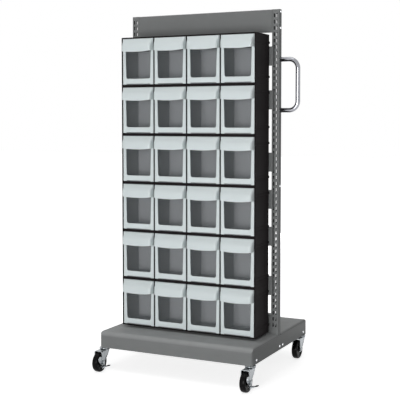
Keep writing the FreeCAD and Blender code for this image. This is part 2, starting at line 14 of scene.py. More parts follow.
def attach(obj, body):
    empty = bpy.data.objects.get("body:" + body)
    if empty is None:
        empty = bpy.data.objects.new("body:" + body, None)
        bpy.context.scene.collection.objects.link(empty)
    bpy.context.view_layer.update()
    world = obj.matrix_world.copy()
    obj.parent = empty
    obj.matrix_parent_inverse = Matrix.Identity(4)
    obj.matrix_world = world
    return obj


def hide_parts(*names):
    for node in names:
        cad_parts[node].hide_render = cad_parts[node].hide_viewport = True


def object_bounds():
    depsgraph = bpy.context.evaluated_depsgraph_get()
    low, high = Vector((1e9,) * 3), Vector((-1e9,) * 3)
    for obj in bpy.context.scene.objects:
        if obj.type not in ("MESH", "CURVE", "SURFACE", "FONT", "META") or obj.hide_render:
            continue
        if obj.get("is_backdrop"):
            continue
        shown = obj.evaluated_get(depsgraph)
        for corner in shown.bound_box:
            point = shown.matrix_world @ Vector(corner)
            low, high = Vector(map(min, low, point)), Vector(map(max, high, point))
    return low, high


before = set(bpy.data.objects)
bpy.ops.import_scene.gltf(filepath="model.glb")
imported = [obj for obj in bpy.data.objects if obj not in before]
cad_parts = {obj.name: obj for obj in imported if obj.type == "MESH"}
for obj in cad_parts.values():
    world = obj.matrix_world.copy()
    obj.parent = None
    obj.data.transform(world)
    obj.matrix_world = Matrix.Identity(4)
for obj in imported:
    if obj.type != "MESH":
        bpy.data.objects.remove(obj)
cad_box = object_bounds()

# %% [markdown]
# ## Measures
# The cart is drawn in millimetres from the plane of the bin fronts, with the floor at z = 0, as a
# workshop would measure it. The frame is in metres about the middle of the base. One matrix turns
# the first into the second, so no piece needs its own conversion.

# %% From the drawing to the frame
FRONT_PLANE = -0.1845
TO_FRAME = Matrix.Translation((0, FRONT_PLANE, 0)) @ Matrix.Scale(0.001, 4)

UNITS = 6
BINS = 4
UNIT_WIDTH, UNIT_DEPTH, UNIT_HEIGHT = 604.0, 136.0, 200.0
STACK_BOTTOM = 168.0
BIN_PITCH = 149.4
BIN_WIDTH = 143.0


def bin_middle(column):
    """X of the middle of a bin, columns counted from 1 at the left."""
    return (column - (BINS + 1) / 2) * BIN_PITCH


def linked(name, data):
    """A new object in the scene."""
    thing = bpy.data.objects.new(name, data)
    bpy.context.scene.collection.objects.link(thing)
    return thing


print("bin middles", [round(bin_middle(column), 1) for column in range(1, BINS + 1)])

# %% [markdown]
# ## Camera
# The photograph looks at the front from the right, almost level, through a long lens. A lens shift
# drops the frame a little, as a view camera does, so that the uprights stay upright in the picture.

# %% Set up the camera
camera_data = bpy.data.cameras.new("camera")
camera_data.lens = 82.73
camera_data.sensor_width = 36.0
camera_data.shift_y = -0.0875
camera = linked("camera", camera_data)
camera.location = (1.6858, -3.4811, 1.0308)
camera.rotation_euler = (math.pi / 2 - 0.0497, 0, 0.458)
bpy.context.scene.camera = camera
bpy.context.scene.view_settings.view_transform = "Standard"
print("camera at", tuple(round(value, 2) for value in camera.location))

# %% [markdown]
# ## Writing node trees as sums
# A finish is a small calculation: a base value, plus a little noise, and so on. Built by hand, each
# plus is a node with two wires. The two classes below let Python's own plus and times signs add
# those nodes. One method makes every other node, for finishes and for Geometry Nodes alike.

# %% A class for values and a class for trees
class Value:
    """An output of a node. Arithmetic on it adds Math nodes."""

    def __init__(self, tree, socket):
        self.tree = tree
        self.socket = socket

    def _math(self, operation, first, second):
        return self.tree.node("ShaderNodeMath", {"operation": operation}, {0: first, 1: second})

    def __add__(self, other):
        return self._math("ADD", self, other)

    def __radd__(self, other):
        return self._math("ADD", other, self)

    def __mul__(self, other):
        return self._math("MULTIPLY", self, other)


class Tree:
    """A node tree, of a finish or of Geometry Nodes."""

    def __init__(self, tree):
        self.tree = tree

    def fill(self, node, inputs):
        """Links or plain values into a node's sockets."""
        for key, value in inputs.items():
            if isinstance(value, Value):
                self.tree.links.new(value.socket, node.inputs[key])
            else:
                node.inputs[key].default_value = value

    def node(self, kind, settings=None, inputs=None, output=0):
        """A node of a kind, its settings first, then the values or links of its sockets."""
        made = self.tree.nodes.new(kind)
        for key, value in (settings or {}).items():
            if key == "stops":
                while len(made.color_ramp.elements) < len(value):
                    made.color_ramp.elements.new(0.5)
                for stop, (position, level) in zip(made.color_ramp.elements, value):
                    stop.position = position
                    stop.color = (level, level, level, 1)
            else:
                setattr(made, key, value)
        self.fill(made, inputs or {})
        return Value(self, made.outputs[output])


print("classes ready")

# %% [markdown]
# ## Finishes
# Every finish has three layers: a colour that drifts slightly, a roughness that drifts with it, and
# a fine bump. Moulded plastic has a fine grain, powder coat the skin of an orange, plated steel has
# streaks. Worn specks are mixed in where they show, and what faces up is made lighter: partly dust,
# partly painted top light. One function makes them all, on Object coordinates, so that a pattern
# stays on its piece when the piece moves.

# %% One function for all the finishes
def rgb(code):
    """A screen colour such as d8e4e4 as the linear numbers that shaders use."""
    levels = [int(code[place:place + 2], 16) / 255 for place in (0, 2, 4)]
    return [level / 12.92 if level <= 0.04045 else ((level + 0.055) / 1.055) ** 2.4
            for level in levels]


def finish(name, colour, roughness, drift=0.06, patch=0.05, grain=0.0012, bump=0.15, depth=0.00008,
           metallic=0.0, stretch=(1, 1, 1), wear=0.0, wear_and_top_light_colour="ffffff", alpha=1.0, gloss=0.5,
           dust_and_top_light=0.0):
    """A procedural finish. patch, grain and depth are in metres, wear and upward lightening are shares;
    the upward lightening is partly dust, partly painted top light.
    """
    material = bpy.data.materials.new(name)
    material.use_nodes = True
    tree = Tree(material.node_tree)
    shader = material.node_tree.nodes["Principled BSDF"]
    coordinates = tree.node("ShaderNodeTexCoord", output="Object")
    stretched = tree.node("ShaderNodeMapping", {}, {"Vector": coordinates, "Scale": stretch})

    def noise(scale, detail, rough=0.5):
        return tree.node("ShaderNodeTexNoise", {}, {"Vector": stretched, "Scale": scale,
                                                    "Detail": detail, "Roughness": rough})

    def mix(share, first, second):
        return tree.node("ShaderNodeMix", {"data_type": "RGBA"}, {0: share, 6: first, 7: second},
                         output=2)

    slow, fine = noise(1 / patch, 4.0), noise(1 / grain, 2.0)
    base, wear_and_top_light_rgb = rgb(colour), rgb(wear_and_top_light_colour) + [1]
    dark = [level * (1 - drift) for level in base] + [1]
    light = [min(1, level * (1 + drift)) for level in base] + [1]
    mixed = mix(slow, dark, light)
    if wear:
        specks = tree.node("ShaderNodeValToRGB", {"stops": ((0.62, 0.0), (0.74, wear))},
                           {0: noise(6 / patch, 6.0, 0.7)})
        mixed = mix(specks, mixed, wear_and_top_light_rgb)
    # What faces up is lightened towards the wear colour: partly dust, partly painted top light.
    if dust_and_top_light:
        normal = tree.node("ShaderNodeNewGeometry", output="Normal")
        upward = tree.node("ShaderNodeSeparateXYZ", {}, {0: normal}, output="Z")
        dust_and_top_light_share = tree.node("ShaderNodeMapRange", {},
                            {"Value": upward, "From Min": 0.2, "To Max": dust_and_top_light})
        mixed = mix(dust_and_top_light_share * (slow * 0.4 + 0.8), mixed, wear_and_top_light_rgb)
    uneven = roughness * (1 - drift) + slow * (2 * drift * roughness)
    height = fine * 0.7 + slow * 0.3
    relief = tree.node("ShaderNodeBump", {},
                       {"Height": height, "Strength": bump, "Distance": depth})
    tree.fill(shader, {"Base Color": mixed, "Roughness": uneven, "Metallic": metallic,
                       "Alpha": alpha, "Specular IOR Level": gloss, "Normal": relief})
    return material


PALE = finish("pale_plastic", "d6dfe0", 0.36, drift=0.02, patch=0.06, grain=0.0009, gloss=0.4)
GREY = finish("tub_plastic", "95979a", 0.45, drift=0.05, patch=0.03, grain=0.0008, gloss=0.2)
BLACK = finish("housing_plastic", "1e1b1c", 0.55, drift=0.12, grain=0.0006, bump=0.3, gloss=0.04)
CLEAR = finish("clear_pane", "9aa4a6", 0.12, drift=0.02, patch=0.08, grain=0.004, bump=0.05,
               alpha=0.05)
# Its light b2b4b4 marks worn specks and lightens what faces up, partly as dust and partly as painted top
# light.
PAINT = finish("grey_powder_coat", "7b7d7d", 0.46, drift=0.04, patch=0.04, grain=0.0011, bump=0.35,
               depth=0.00015, wear=0.12, wear_and_top_light_colour="b2b4b4", gloss=0.08, dust_and_top_light=0.9)
# Near-black for the inner faces of the uprights and the edges of their slots: painted shade inside the
# tube.
TUBE_SHADE = finish("painted_tube_shade", "1a1b1b", 0.8, drift=0.2, patch=0.03, grain=0.001, gloss=0.02)
CHROME = finish("chrome", "98999e", 0.1, drift=0.05, patch=0.02, grain=0.002, bump=0.03,
                metallic=1.0)
ZINC = finish("zinc_plate", "a2a6a9", 0.24, drift=0.16, patch=0.012, grain=0.0007, bump=0.2,
              depth=0.00005, metallic=1.0, stretch=(1, 1, 0.35))
SCREW = finish("bright_screw", "e2e4e6", 0.22, drift=0.06, patch=0.004, grain=0.0005, metallic=1.0)
RUBBER = finish("black_tyre", "070607", 0.26, drift=0.15, patch=0.02, grain=0.0008, bump=0.3,
                wear=0.2, wear_and_top_light_colour="1c1a1a", gloss=0.08)
SLEEVE = finish("black_sleeve", "060606", 0.5, drift=0.1, patch=0.01, grain=0.0006, gloss=0.06)
print("finishes", [material.name for material in bpy.data.materials if material.use_nodes])

# %% [markdown]
# ## Bench tools
# A few functions turn outlines into plates, rings into skins, and profiles into turned shapes, all
# in millimetres. Modifiers finish the shapes: their result is kept as a plain mesh, and nothing
# stays live.

# %% Outlines, plates, skins and turned shapes
def rounded(corners, steps=5):
    """An outline through corners given as (x, y, radius), each turned on an arc."""
    outline = []
    for before, (x, y, radius), after in zip(corners[-1:] + corners[:-1], corners,
                                             corners[1:] + corners[:1]):
        here = Vector((x, y))
        back = (Vector(before[:2]) - here).normalized()
        ahead = (Vector(after[:2]) - here).normalized()
        if not radius:
            outline.append(here)
            continue
        half = back.angle(ahead) / 2
        centre = here + (back + ahead).normalized() * radius / math.sin(half)
        first = here + back * radius / math.tan(half) - centre
        last = here + ahead * radius / math.tan(half) - centre
        turn = first.angle_signed(last)
        for step in range(steps + 1):
            outline.append(centre + Matrix.Rotation(-turn * step / steps, 2) @ first)
    return outline


def oblong(x0, y0, x1, y1, low, high, steps=5):
    """An oblong between two corners, its lower corners of one radius and its upper of another."""
    return rounded([(x0, y0, low), (x1, y0, low), (x1, y1, high), (x0, y1, high)], steps)


def plate(bm, outlines, upright, start, end):
    """A plate through outlines, the later ones holes. upright puts an (a, b, depth) in space."""
    edges = []
    for outline in outlines:
        corners = [bm.verts.new(upright(a, b, start)) for a, b in outline]
        edges += [bm.edges.new(pair) for pair in zip(corners, corners[1:] + corners[:1])]
    filled = bmesh.ops.triangle_fill(bm, use_beauty=True, use_dissolve=True, edges=edges)
    faces = [item for item in filled["geom"] if isinstance(item, bmesh.types.BMFace)]
    if end != start:
        pushed = bmesh.ops.extrude_face_region(bm, geom=faces, use_keep_orig=True)
        new = [item for item in pushed["geom"] if isinstance(item, bmesh.types.BMVert)]
        move = Vector(upright(0, 0, end)) - Vector(upright(0, 0, start))
        bmesh.ops.translate(bm, verts=new, vec=move)
    return faces


def facing_front(a, b, depth):
    return (a, depth, b)


def facing_side(a, b, depth):
    return (depth, a, b)


def facing_up(a, b, depth):
    return (a, b, depth)


def skin(bm, rings, closed=True, caps=True):
    """Faces through rings of as many points each."""
    rows = [[bm.verts.new(point) for point in ring] for ring in rings]
    for low, high in zip(rows, rows[1:]):
        for index in range(len(low) if closed else len(low) - 1):
            after = (index + 1) % len(low)
            bm.faces.new((low[index], low[after], high[after], high[index]))
    if caps:
        bm.faces.new(rows[0][::-1])
        bm.faces.new(rows[-1])


def face_towards(bm, way):
    """The faces of an open skin turned alike, so that they look some way on the whole."""
    bmesh.ops.recalc_face_normals(bm, faces=bm.faces)
    if sum(face.normal.dot(Vector(way)) * face.calc_area() for face in bm.faces) < 0:
        bmesh.ops.reverse_faces(bm, faces=bm.faces)


def turned(bm, profile, centre, axis, sides=48, closed_profile=False):
    """A turned shape from (distance along the axis, radius) pairs."""
    rings = []
    for along, radius in profile:
        ring = []
        for side in range(sides):
            angle = 2 * math.pi * side / sides
            across, over = radius * math.cos(angle), radius * math.sin(angle)
            point = (along, across, over) if axis == "X" else (across, over, along)
            ring.append(Vector(centre) + Vector(point))
        rings.append(ring)
    if closed_profile:
        rings.append(rings[0])
    skin(bm, rings, caps=not closed_profile)


def block(bm, low, high):
    """A plain block between two corners, for cutters and for shapes that are rounded later."""
    made = bmesh.ops.create_cube(bm, size=1.0)["verts"]
    size = Vector(high) - Vector(low)
    bmesh.ops.scale(bm, verts=made, vec=size)
    bmesh.ops.translate(bm, verts=made, vec=(Vector(low) + Vector(high)) / 2)


def to_mesh(bm, name, outward=True):
    """The finished bmesh as a mesh whose faces point outwards."""
    bmesh.ops.remove_doubles(bm, verts=bm.verts, dist=0.0005)
    if outward:
        bmesh.ops.recalc_face_normals(bm, faces=bm.faces)
    mesh = bpy.data.meshes.new(name)
    bm.to_mesh(mesh)
    bm.free()
    return mesh


def result_of(thing):
    """What an object's modifiers make of it, as a plain mesh. The object goes."""
    seen = thing.evaluated_get(bpy.context.evaluated_depsgraph_get())
    result = bpy.data.meshes.new_from_object(seen)
    bpy.data.objects.remove(thing)
    return result


def worked(mesh, *steps):
    """The mesh after modifiers, given as (kind, settings) pairs."""
    thing = linked("bench", mesh)
    for kind, settings in steps:
        modifier = thing.modifiers.new(kind, kind)
        for key, value in settings.items():
            setattr(modifier, key, value)
    return result_of(thing)


def eased(width, segments=2, angle=35):
    """A Bevel that rounds the sharp edges."""
    return ("BEVEL", {"width": width, "segments": segments, "limit_method": "ANGLE",
                      "angle_limit": math.radians(angle), "use_clamp_overlap": True})


def thick(sheet, offset=-1):
    """A Solidify that gives a skin its sheet."""
    return ("SOLIDIFY", {"thickness": sheet, "offset": offset, "use_even_offset": True})


def combined(mesh, other, operation):
    """One mesh cut by, joined to, or kept within another."""
    cutter = linked("cutter", other)
    settings = {"operation": operation, "object": cutter, "solver": "EXACT"}
    result = worked(mesh, ("BOOLEAN", settings))
    bpy.data.objects.remove(cutter)
    return result


def piece(name, mesh, material, body, nodes=(), move=(0, 0, 0), smooth=32, inside=None):
    """A finished piece: put in its place, smoothed, given its finish, and set to ride on a body."""
    mesh.transform(TO_FRAME @ Matrix.Translation(move))
    sides = [face.material_index for face in mesh.polygons]
    mesh.materials.clear()
    mesh.materials.append(material)
    # A second finish, if given, goes on faces of material index 1; the uprights use it for the painted
    # shade inside the tube.
    if inside:
        mesh.materials.append(inside)
        mesh.polygons.foreach_set("material_index", sides)
    mesh.shade_smooth()
    mesh.set_sharp_from_angle(angle=math.radians(smooth))
    mesh.name = name
    thing = linked(name, mesh)
    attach(thing, body)
    if nodes:
        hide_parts(*nodes)
    return thing


print("bench tools ready")

# %% [markdown]
# ## Geometry Nodes for what repeats
# Slots in the uprights, ribs on the housings and screws in the stand all repeat one small shape. A
# tree that copies its own geometry along a line does the first two. A second one sets a shape on a
# list of seats, and turns each to face outwards. A third lays a round section along a path, for the
# handle. All three end in Realize Instances and Set Material.

# %% A tree for rows, a tree for seats and a tree for tubes
def geometry_tree(name, **inputs):
    """An empty Geometry Nodes tree with named inputs, and a Value for each."""
    group = bpy.data.node_groups.new(name, "GeometryNodeTree")
    for label, kind in {"Geometry": "Geometry", **inputs, "Material": "Material"}.items():
        group.interface.new_socket(label, in_out="INPUT", socket_type="NodeSocket" + kind)
    group.interface.new_socket("Geometry", in_out="OUTPUT", socket_type="NodeSocketGeometry")
    tree = Tree(group)
    source = group.nodes.new("NodeGroupInput")
    return tree, {socket.name: Value(tree, socket) for socket in source.outputs if socket.name}


def close_tree(tree, geometry, material):
    """Realise the copies, set their finish and send them out."""
    solid = tree.node("GeometryNodeRealizeInstances", {}, {0: geometry})
    merged = tree.node("GeometryNodeMergeByDistance", {}, {"Geometry": solid, "Distance": 0.01})
    painted = tree.node("GeometryNodeSetMaterial", {}, {"Geometry": merged, "Material": material})
    out = tree.tree.nodes.new("NodeGroupOutput")
    tree.fill(out, {0: painted})


row_tree, given = geometry_tree("row", Count="Int", Step="Vector")
line = row_tree.node("GeometryNodeMeshLine", {}, {"Count": given["Count"], "Offset": given["Step"]})
copies = row_tree.node("GeometryNodeInstanceOnPoints", {},
                       {"Points": line, "Instance": given["Geometry"]})
close_tree(row_tree, copies, given["Material"])

seat_tree, given = geometry_tree("seats", Shape="Object")
shape = seat_tree.node("GeometryNodeObjectInfo", {}, {"Object": given["Shape"]}, output="Geometry")
outwards = seat_tree.node("GeometryNodeInputNamedAttribute", {"data_type": "FLOAT_VECTOR"},
                          {"Name": "outwards"})
turn = seat_tree.node("FunctionNodeAlignRotationToVector", {"axis": "Z"}, {"Vector": outwards})
copies = seat_tree.node("GeometryNodeInstanceOnPoints", {},
                        {"Points": given["Geometry"], "Instance": shape, "Rotation": turn})
close_tree(seat_tree, copies, given["Material"])

tube_tree, given = geometry_tree("tube", Bend="Float", Radius="Float")
path = tube_tree.node("GeometryNodeMeshToCurve", {}, {"Mesh": given["Geometry"]})
bent = tube_tree.node("GeometryNodeFilletCurve", {"mode": "POLY"},
                      {"Curve": path, "Radius": given["Bend"], "Count": 14,
                       "Limit Radius": True})
round_section = tube_tree.node("GeometryNodeCurvePrimitiveCircle", {},
                               {"Resolution": 32, "Radius": given["Radius"]})
tube = tube_tree.node("GeometryNodeCurveToMesh", {},
                      {"Curve": bent, "Profile Curve": round_section, "Fill Caps": True})
close_tree(tube_tree, tube, given["Material"])


def grown(mesh, tree, **inputs):
    """The mesh after a Geometry Nodes tree, whose inputs are set by their identifiers."""
    thing = linked("bench", mesh)
    modifier = thing.modifiers.new("nodes", "NODES")
    modifier.node_group = tree.tree
    for item in tree.tree.interface.items_tree:
        if item.in_out == "INPUT" and item.name in inputs:
            modifier[item.identifier] = inputs[item.name]
    thing.update_tag()
    return result_of(thing)


print("trees", [group.name for group in bpy.data.node_groups])

# %% [markdown]
# ## Bin fronts
# Each bin has a pale moulded front: a frame round a window, and a deep pull along its top that bows
# at its lower lip. The frame is a plate with a hole, its face edges rounded, and a peg at each side
# to turn on. The pull is a skin through rings that grow from nothing at the top edge to their full
# reach, given its wall afterwards.

# %% Mould one bin front
FRONT_TOP, FRONT_BOTTOM, FRONT_SHEET = 194.0, 6.0, 4.0
FOOT_WIDTH, FOOT_TOP = 14.0, 9.0
WINDOW = ((56.5, 30.0), (59.7, 152.0))
PEG_RADIUS, PEG_REACH = 1.8, 2.2
PIVOT_Y, PIVOT_Z = 2.0, 10.0
PULL_REACH, PULL_TAPER, PULL_WALL, PULL_CORNER = 21.6, 3.7, 2.2, 10.0
PULL_MIDDLE, PULL_ENDS, PULL_BOW = 55.0, 50.2, 2.2
PULL_PROFILE = ((0, 0), (0.6, 2.2), (3.5, 4.6), (9, 8.2), (15, 12.6), (20, 16.2), (24, 18.4),
                (28, 19.8), (33, 20.7), (39, 21.2), (45, 21.5), (51.5, 21.6), (55, 21.3))
half = BIN_WIDTH / 2


def pull_ring(drop, reach):
    """A row of points round the pull at some drop below its top edge."""
    corner = min(PULL_CORNER, 0.8 * reach)
    side = half - PULL_TAPER * reach / PULL_REACH
    right = [(half, 1.0), (half, 0.0)]
    for step in range(6):
        angle = math.pi / 2 * step / 5
        right.append((side - corner * (1 - math.cos(angle)),
                      -reach + corner * (1 - math.sin(angle))))
    front = [((side - corner) * (1 - step / 6), -reach) for step in range(1, 6)]
    plan = right + front + [(0.0, -reach)] + [(-x, y) for x, y in (right + front)[::-1]]
    points = []
    for x, y in plan:
        height = PULL_MIDDLE - (PULL_MIDDLE - PULL_ENDS) * abs(x / half) ** PULL_BOW
        points.append((x, y, FRONT_TOP - drop * height / PULL_MIDDLE))
    return points


bm = bmesh.new()
skin(bm, [pull_ring(drop, reach) for drop, reach in PULL_PROFILE], closed=False, caps=False)
bmesh.ops.remove_doubles(bm, verts=bm.verts, dist=0.01)
face_towards(bm, (0, -1, 0))
pull = worked(to_mesh(bm, "pull", outward=False), thick(PULL_WALL), eased(0.8, 2, 50))

bm = bmesh.new()
foot = half - FOOT_WIDTH
outline = rounded([(-half, FRONT_BOTTOM, 2.5), (-foot, FRONT_BOTTOM, 1), (-foot, FOOT_TOP, 1),
                   (foot, FOOT_TOP, 1), (foot, FRONT_BOTTOM, 1), (half, FRONT_BOTTOM, 2.5),
                   (half, FRONT_TOP, 2), (-half, FRONT_TOP, 2)])
(low_x, low_z), (high_x, high_z) = WINDOW
window = rounded([(-low_x, low_z, 8), (low_x, low_z, 8), (high_x, high_z, 2), (-high_x, high_z, 2)])
plate(bm, [outline, window], facing_front, 0, FRONT_SHEET)
face_edges = [edge for edge in bm.edges if all(abs(vert.co.y) < 0.01 for vert in edge.verts)
              and edge.calc_face_angle(0) > 1]
bmesh.ops.bevel(bm, geom=face_edges, offset=1.6, segments=3, profile=0.5, affect="EDGES",
                clamp_overlap=True)
for side in (-1, 1):
    tip = half + PEG_REACH
    turned(bm, [(side * (half - 1), PEG_RADIUS), (side * (tip - 0.4), PEG_RADIUS),
                (side * tip, PEG_RADIUS - 0.4)], (0, PIVOT_Y, PIVOT_Z), "X", sides=16)
front = to_mesh(bm, "front")
print("front faces", len(front.polygons), "pull faces", len(pull.polygons))

# %% [markdown]
# ## Tubs and panes
# Behind each front hangs a grey tub. Its side walls end on an arc about the pivot pegs, so that
# they clear the housing as the bin tips, and its higher back wall stops it. It is drawn as a skin
# of five faces, its corners rounded, and thickened inwards. The pane is a clear plate, and two slim
# gussets stiffen the front beside it.

# %% Mould one tub and one pane
TUB_HALF, TUB_BACK, TUB_FLOOR, TUB_WALL = 70.7, 123.5, 5.3, 2.0
TUB_FOLD, FLOOR_RISE = 9.0, 9.0
SIDE_ARC, STOP_ARC = 178.0, 185.8
PANE_SHEET = 1.5


def arc_height(radius, depth):
    return PIVOT_Z + math.sqrt(radius ** 2 - (depth - PIVOT_Y) ** 2)


bm = bmesh.new()
depths = [FRONT_SHEET + (TUB_BACK - FRONT_SHEET) * step / 10 for step in range(11)]
sides = []
for side in (-1, 1):
    x = side * TUB_HALF
    points = [(x, FRONT_SHEET, TUB_FLOOR)]
    points += [(x, depth, arc_height(SIDE_ARC, depth)) for depth in depths]
    points.append((x, TUB_BACK, TUB_FLOOR + FLOOR_RISE))
    sides.append([bm.verts.new(point) for point in points])
    bm.faces.new(sides[-1])
left, right = sides
bm.faces.new((left[0], right[0], right[-1], left[-1]))
bm.faces.new((left[-1], right[-1], right[-2], left[-2]))
top = [bm.verts.new((side * TUB_HALF, TUB_BACK, arc_height(STOP_ARC, TUB_BACK)))
       for side in (-1, 1)]
bm.faces.new((left[-2], right[-2], top[1], top[0]))
face_towards(bm, (0, 1, 0))
folds = [edge for edge in bm.edges if len(edge.link_faces) == 2 and edge.calc_face_angle(0) > 1]
bmesh.ops.bevel(bm, geom=folds, offset=TUB_FOLD, segments=6, profile=0.5, affect="EDGES",
                clamp_overlap=True)
tub = worked(to_mesh(bm, "tub", outward=False), thick(TUB_WALL), eased(0.5, 1, 60))

bm = bmesh.new()
plate(bm, [oblong(-62, 27, 62, 155, 2, 2)], facing_front, FRONT_SHEET, FRONT_SHEET + PANE_SHEET)
pane = worked(to_mesh(bm, "pane"), eased(0.3, 1))

bm = bmesh.new()
for side in (-1, 1):
    skin(bm, [[(side * (61 + out), 4, 31), (side * (61 + out), 5, 31), (side * (63 + out), 15, 153),
               (side * (63 + out), 4, 153)] for out in (0, 1.4)])
gussets = worked(to_mesh(bm, "gussets"), eased(0.3, 1))
print("tub faces", len(tub.polygons))

# %% [markdown]
# ## Hanging the bins
# All 24 bins come from the same mould, so their meshes are copied, and each copy is moved to its
# own place and rides on its own body.

# %% Copy the bins into their places
def joined(*meshes):
    """Several meshes as one."""
    bm = bmesh.new()
    for mesh in meshes:
        bm.from_mesh(mesh)
    result = bpy.data.meshes.new("joined")
    bm.to_mesh(result)
    bm.free()
    return result


pale_parts = joined(front, pull, gussets)
for unit in range(1, UNITS + 1):
    for column in range(1, BINS + 1):
        name = f"bin_{unit}_{column}"
        place = (bin_middle(column), 0, STACK_BOTTOM + (unit - 1) * UNIT_HEIGHT)
        piece(name + "_front", pale_parts.copy(), PALE, name, [name], place, smooth=40)
        piece(name + "_tub", tub.copy(), GREY, name, [name], place)
        piece(name + "_pane", pane.copy(), CLEAR, name, [name], place)
print("bins", UNITS * BINS, "faces each", len(pale_parts.polygons) + len(tub.polygons))

# %% [markdown]
# ## Housings
# A housing is a black moulded shell with four openings, a thicker rim in front, grooves along its
# sides and a small lug at each rear corner. All its walls are straight, so it is drawn on a grid: a
# rule says which cells are filled, and faces are laid only where filled meets empty. That gives a
# closed skin with no buried faces, which a bevel then softens.

# %% Mould one housing
RIM_DEPTH, RIM_HEIGHT, WALL, OPENING_HALF = 10.0, 5.3, 3.0, 72.2
GROOVES, GROOVE_FRONT, GROOVE_DEPTH = ((27, 29), (39, 41), (159, 161), (171, 173)), 5.0, 0.7
LUGS, LUG_HALF, LUG_DEPTH, LUG_REACH = (32.0, 168.0), 4.5, 9.0, 3.0
side_face = UNIT_WIDTH / 2
openings = [(bin_middle(column) - OPENING_HALF, bin_middle(column) + OPENING_HALF)
            for column in range(1, BINS + 1)]


def filled(x, y, z):
    """Whether plastic fills a point of the housing."""
    if abs(x) > side_face:
        return y > UNIT_DEPTH - LUG_DEPTH and any(abs(z - lug) < LUG_HALF for lug in LUGS)
    grooved = any(low < z < high for low, high in GROOVES)
    if abs(x) > side_face - GROOVE_DEPTH and y > GROOVE_FRONT and grooved:
        return False
    if y < RIM_DEPTH:
        in_hole = RIM_HEIGHT < z < UNIT_HEIGHT - RIM_HEIGHT
        return not (in_hole and any(low < x < high for low, high in openings))
    inside = WALL < z < UNIT_HEIGHT - WALL and abs(x) < side_face - WALL and y < UNIT_DEPTH - WALL
    divider = any(abs(x - high - 2.5) < 1.5 for low, high in openings[:-1])
    return not inside or divider


def grid_skin(xs, ys, zs):
    """A closed skin round the filled cells of a grid."""
    bm = bmesh.new()
    middles = [[(low + high) / 2 for low, high in zip(line, line[1:])] for line in (xs, ys, zs)]
    full = {(i, j, k) for i, x in enumerate(middles[0]) for j, y in enumerate(middles[1])
            for k, z in enumerate(middles[2]) if filled(x, y, z)}
    corners = {}

    def corner(i, j, k):
        if (i, j, k) not in corners:
            corners[i, j, k] = bm.verts.new((xs[i], ys[j], zs[k]))
        return corners[i, j, k]

    for cell in full:
        for axis in range(3):
            for side in (0, 1):
                beyond = list(cell)
                beyond[axis] += 2 * side - 1
                if tuple(beyond) in full:
                    continue
                square = []
                for a, b in ((0, 0), (1, 0), (1, 1), (0, 1)):
                    spot = list(cell)
                    spot[axis] += side
                    spot[(axis + 1) % 3] += a
                    spot[(axis + 2) % 3] += b
                    square.append(corner(*spot))
                bm.faces.new(square if side else square[::-1])
    bmesh.ops.dissolve_limit(bm, angle_limit=0.01, verts=bm.verts, edges=bm.edges)
    return bm


xs = {side_face + LUG_REACH, side_face, side_face - GROOVE_DEPTH, side_face - WALL}
for low, high in openings:
    xs |= {high, high + 1.0, high + 4.0, high + 5.0}
xs = sorted(round(x, 3) for x in xs | {-x for x in xs} if abs(x) <= side_face + LUG_REACH)
ys = [0, GROOVE_FRONT, RIM_DEPTH, UNIT_DEPTH - LUG_DEPTH, UNIT_DEPTH - WALL, UNIT_DEPTH]
zs = sorted({0, WALL, RIM_HEIGHT, UNIT_HEIGHT - RIM_HEIGHT, UNIT_HEIGHT - WALL, UNIT_HEIGHT}
            | {z for groove in GROOVES for z in groove}
            | {lug + side for lug in LUGS for side in (-LUG_HALF, LUG_HALF)})
housing = worked(to_mesh(grid_skin(xs, ys, zs), "housing", outward=False), eased(0.9, 2))
print("housing faces", len(housing.polygons))

# %% [markdown]
# Two columns of small ribs run up each side near the back. One rib is a rounded pad, and the tree
# for rows copies it upwards.

# %% Add the side ribs and stack the housings
bm = bmesh.new()
for side in (-1, 1):
    for depth in (96, 122):
        plate(bm, [oblong(depth - 2, 0, depth + 2, 7, 0.8, 0.8, 2)], facing_side,
              side * (side_face - 0.2), side * (side_face + 0.5))
rib = worked(to_mesh(bm, "rib"), eased(0.25, 1))
ribs = grown(rib, row_tree, Count=10, Step=(0, 0, 11.0), Material=BLACK)
ribs.transform(Matrix.Translation((0, 0, 47)))
whole_housing = joined(housing, ribs)
for unit in range(1, UNITS + 1):
    name = f"bin_housing_{unit}"
    piece(name + "_shell", whole_housing.copy(), BLACK, "stand", [name],
          (0, 0, STACK_BOTTOM + (unit - 1) * UNIT_HEIGHT))
print("housings", UNITS, "rib faces", len(ribs.polygons))

# %% [markdown]
# ## Uprights
# The uprights are box tubes with two columns of slots down the front and the back, every 25 mm.
# One such length is drawn as an open skin with its four slots, the tree for rows stacks it 51
# times, and Solidify gives the tube its wall. Plain lengths close the top and the foot. Solidify
# also gives the inner faces and the slots' edges a second, near-black finish: painted shade, as
# little light gets in.

# %% Roll one slotted length and stack it
TUBE_WIDTH, TUBE_DEPTH, TUBE_CORNER, TUBE_WALL = 32.0, 26.0, 2.2, 1.5
TUBE_FOOT, TUBE_TOP = 97.0, 1470.0
UPRIGHT_X, UPRIGHT_Y = 322.5, 166.0
SLOT_WIDTH, SLOT_HEIGHT, SLOT_END, SLOT_ASIDE = 5.0, 16.0, 2.49, 6.0
SLOT_PITCH, SLOT_ROWS, FIRST_ROW = 25.0, 51, 196.0


def tube_skin(bm, z0, z1):
    """The skin of the tube between two heights."""
    w, d = TUBE_WIDTH / 2, TUBE_DEPTH / 2
    section = oblong(-w, -d, w, d, TUBE_CORNER, TUBE_CORNER, 3)
    skin(bm, [[(x, y, z) for x, y in section] for z in (z0, z1)], caps=False)


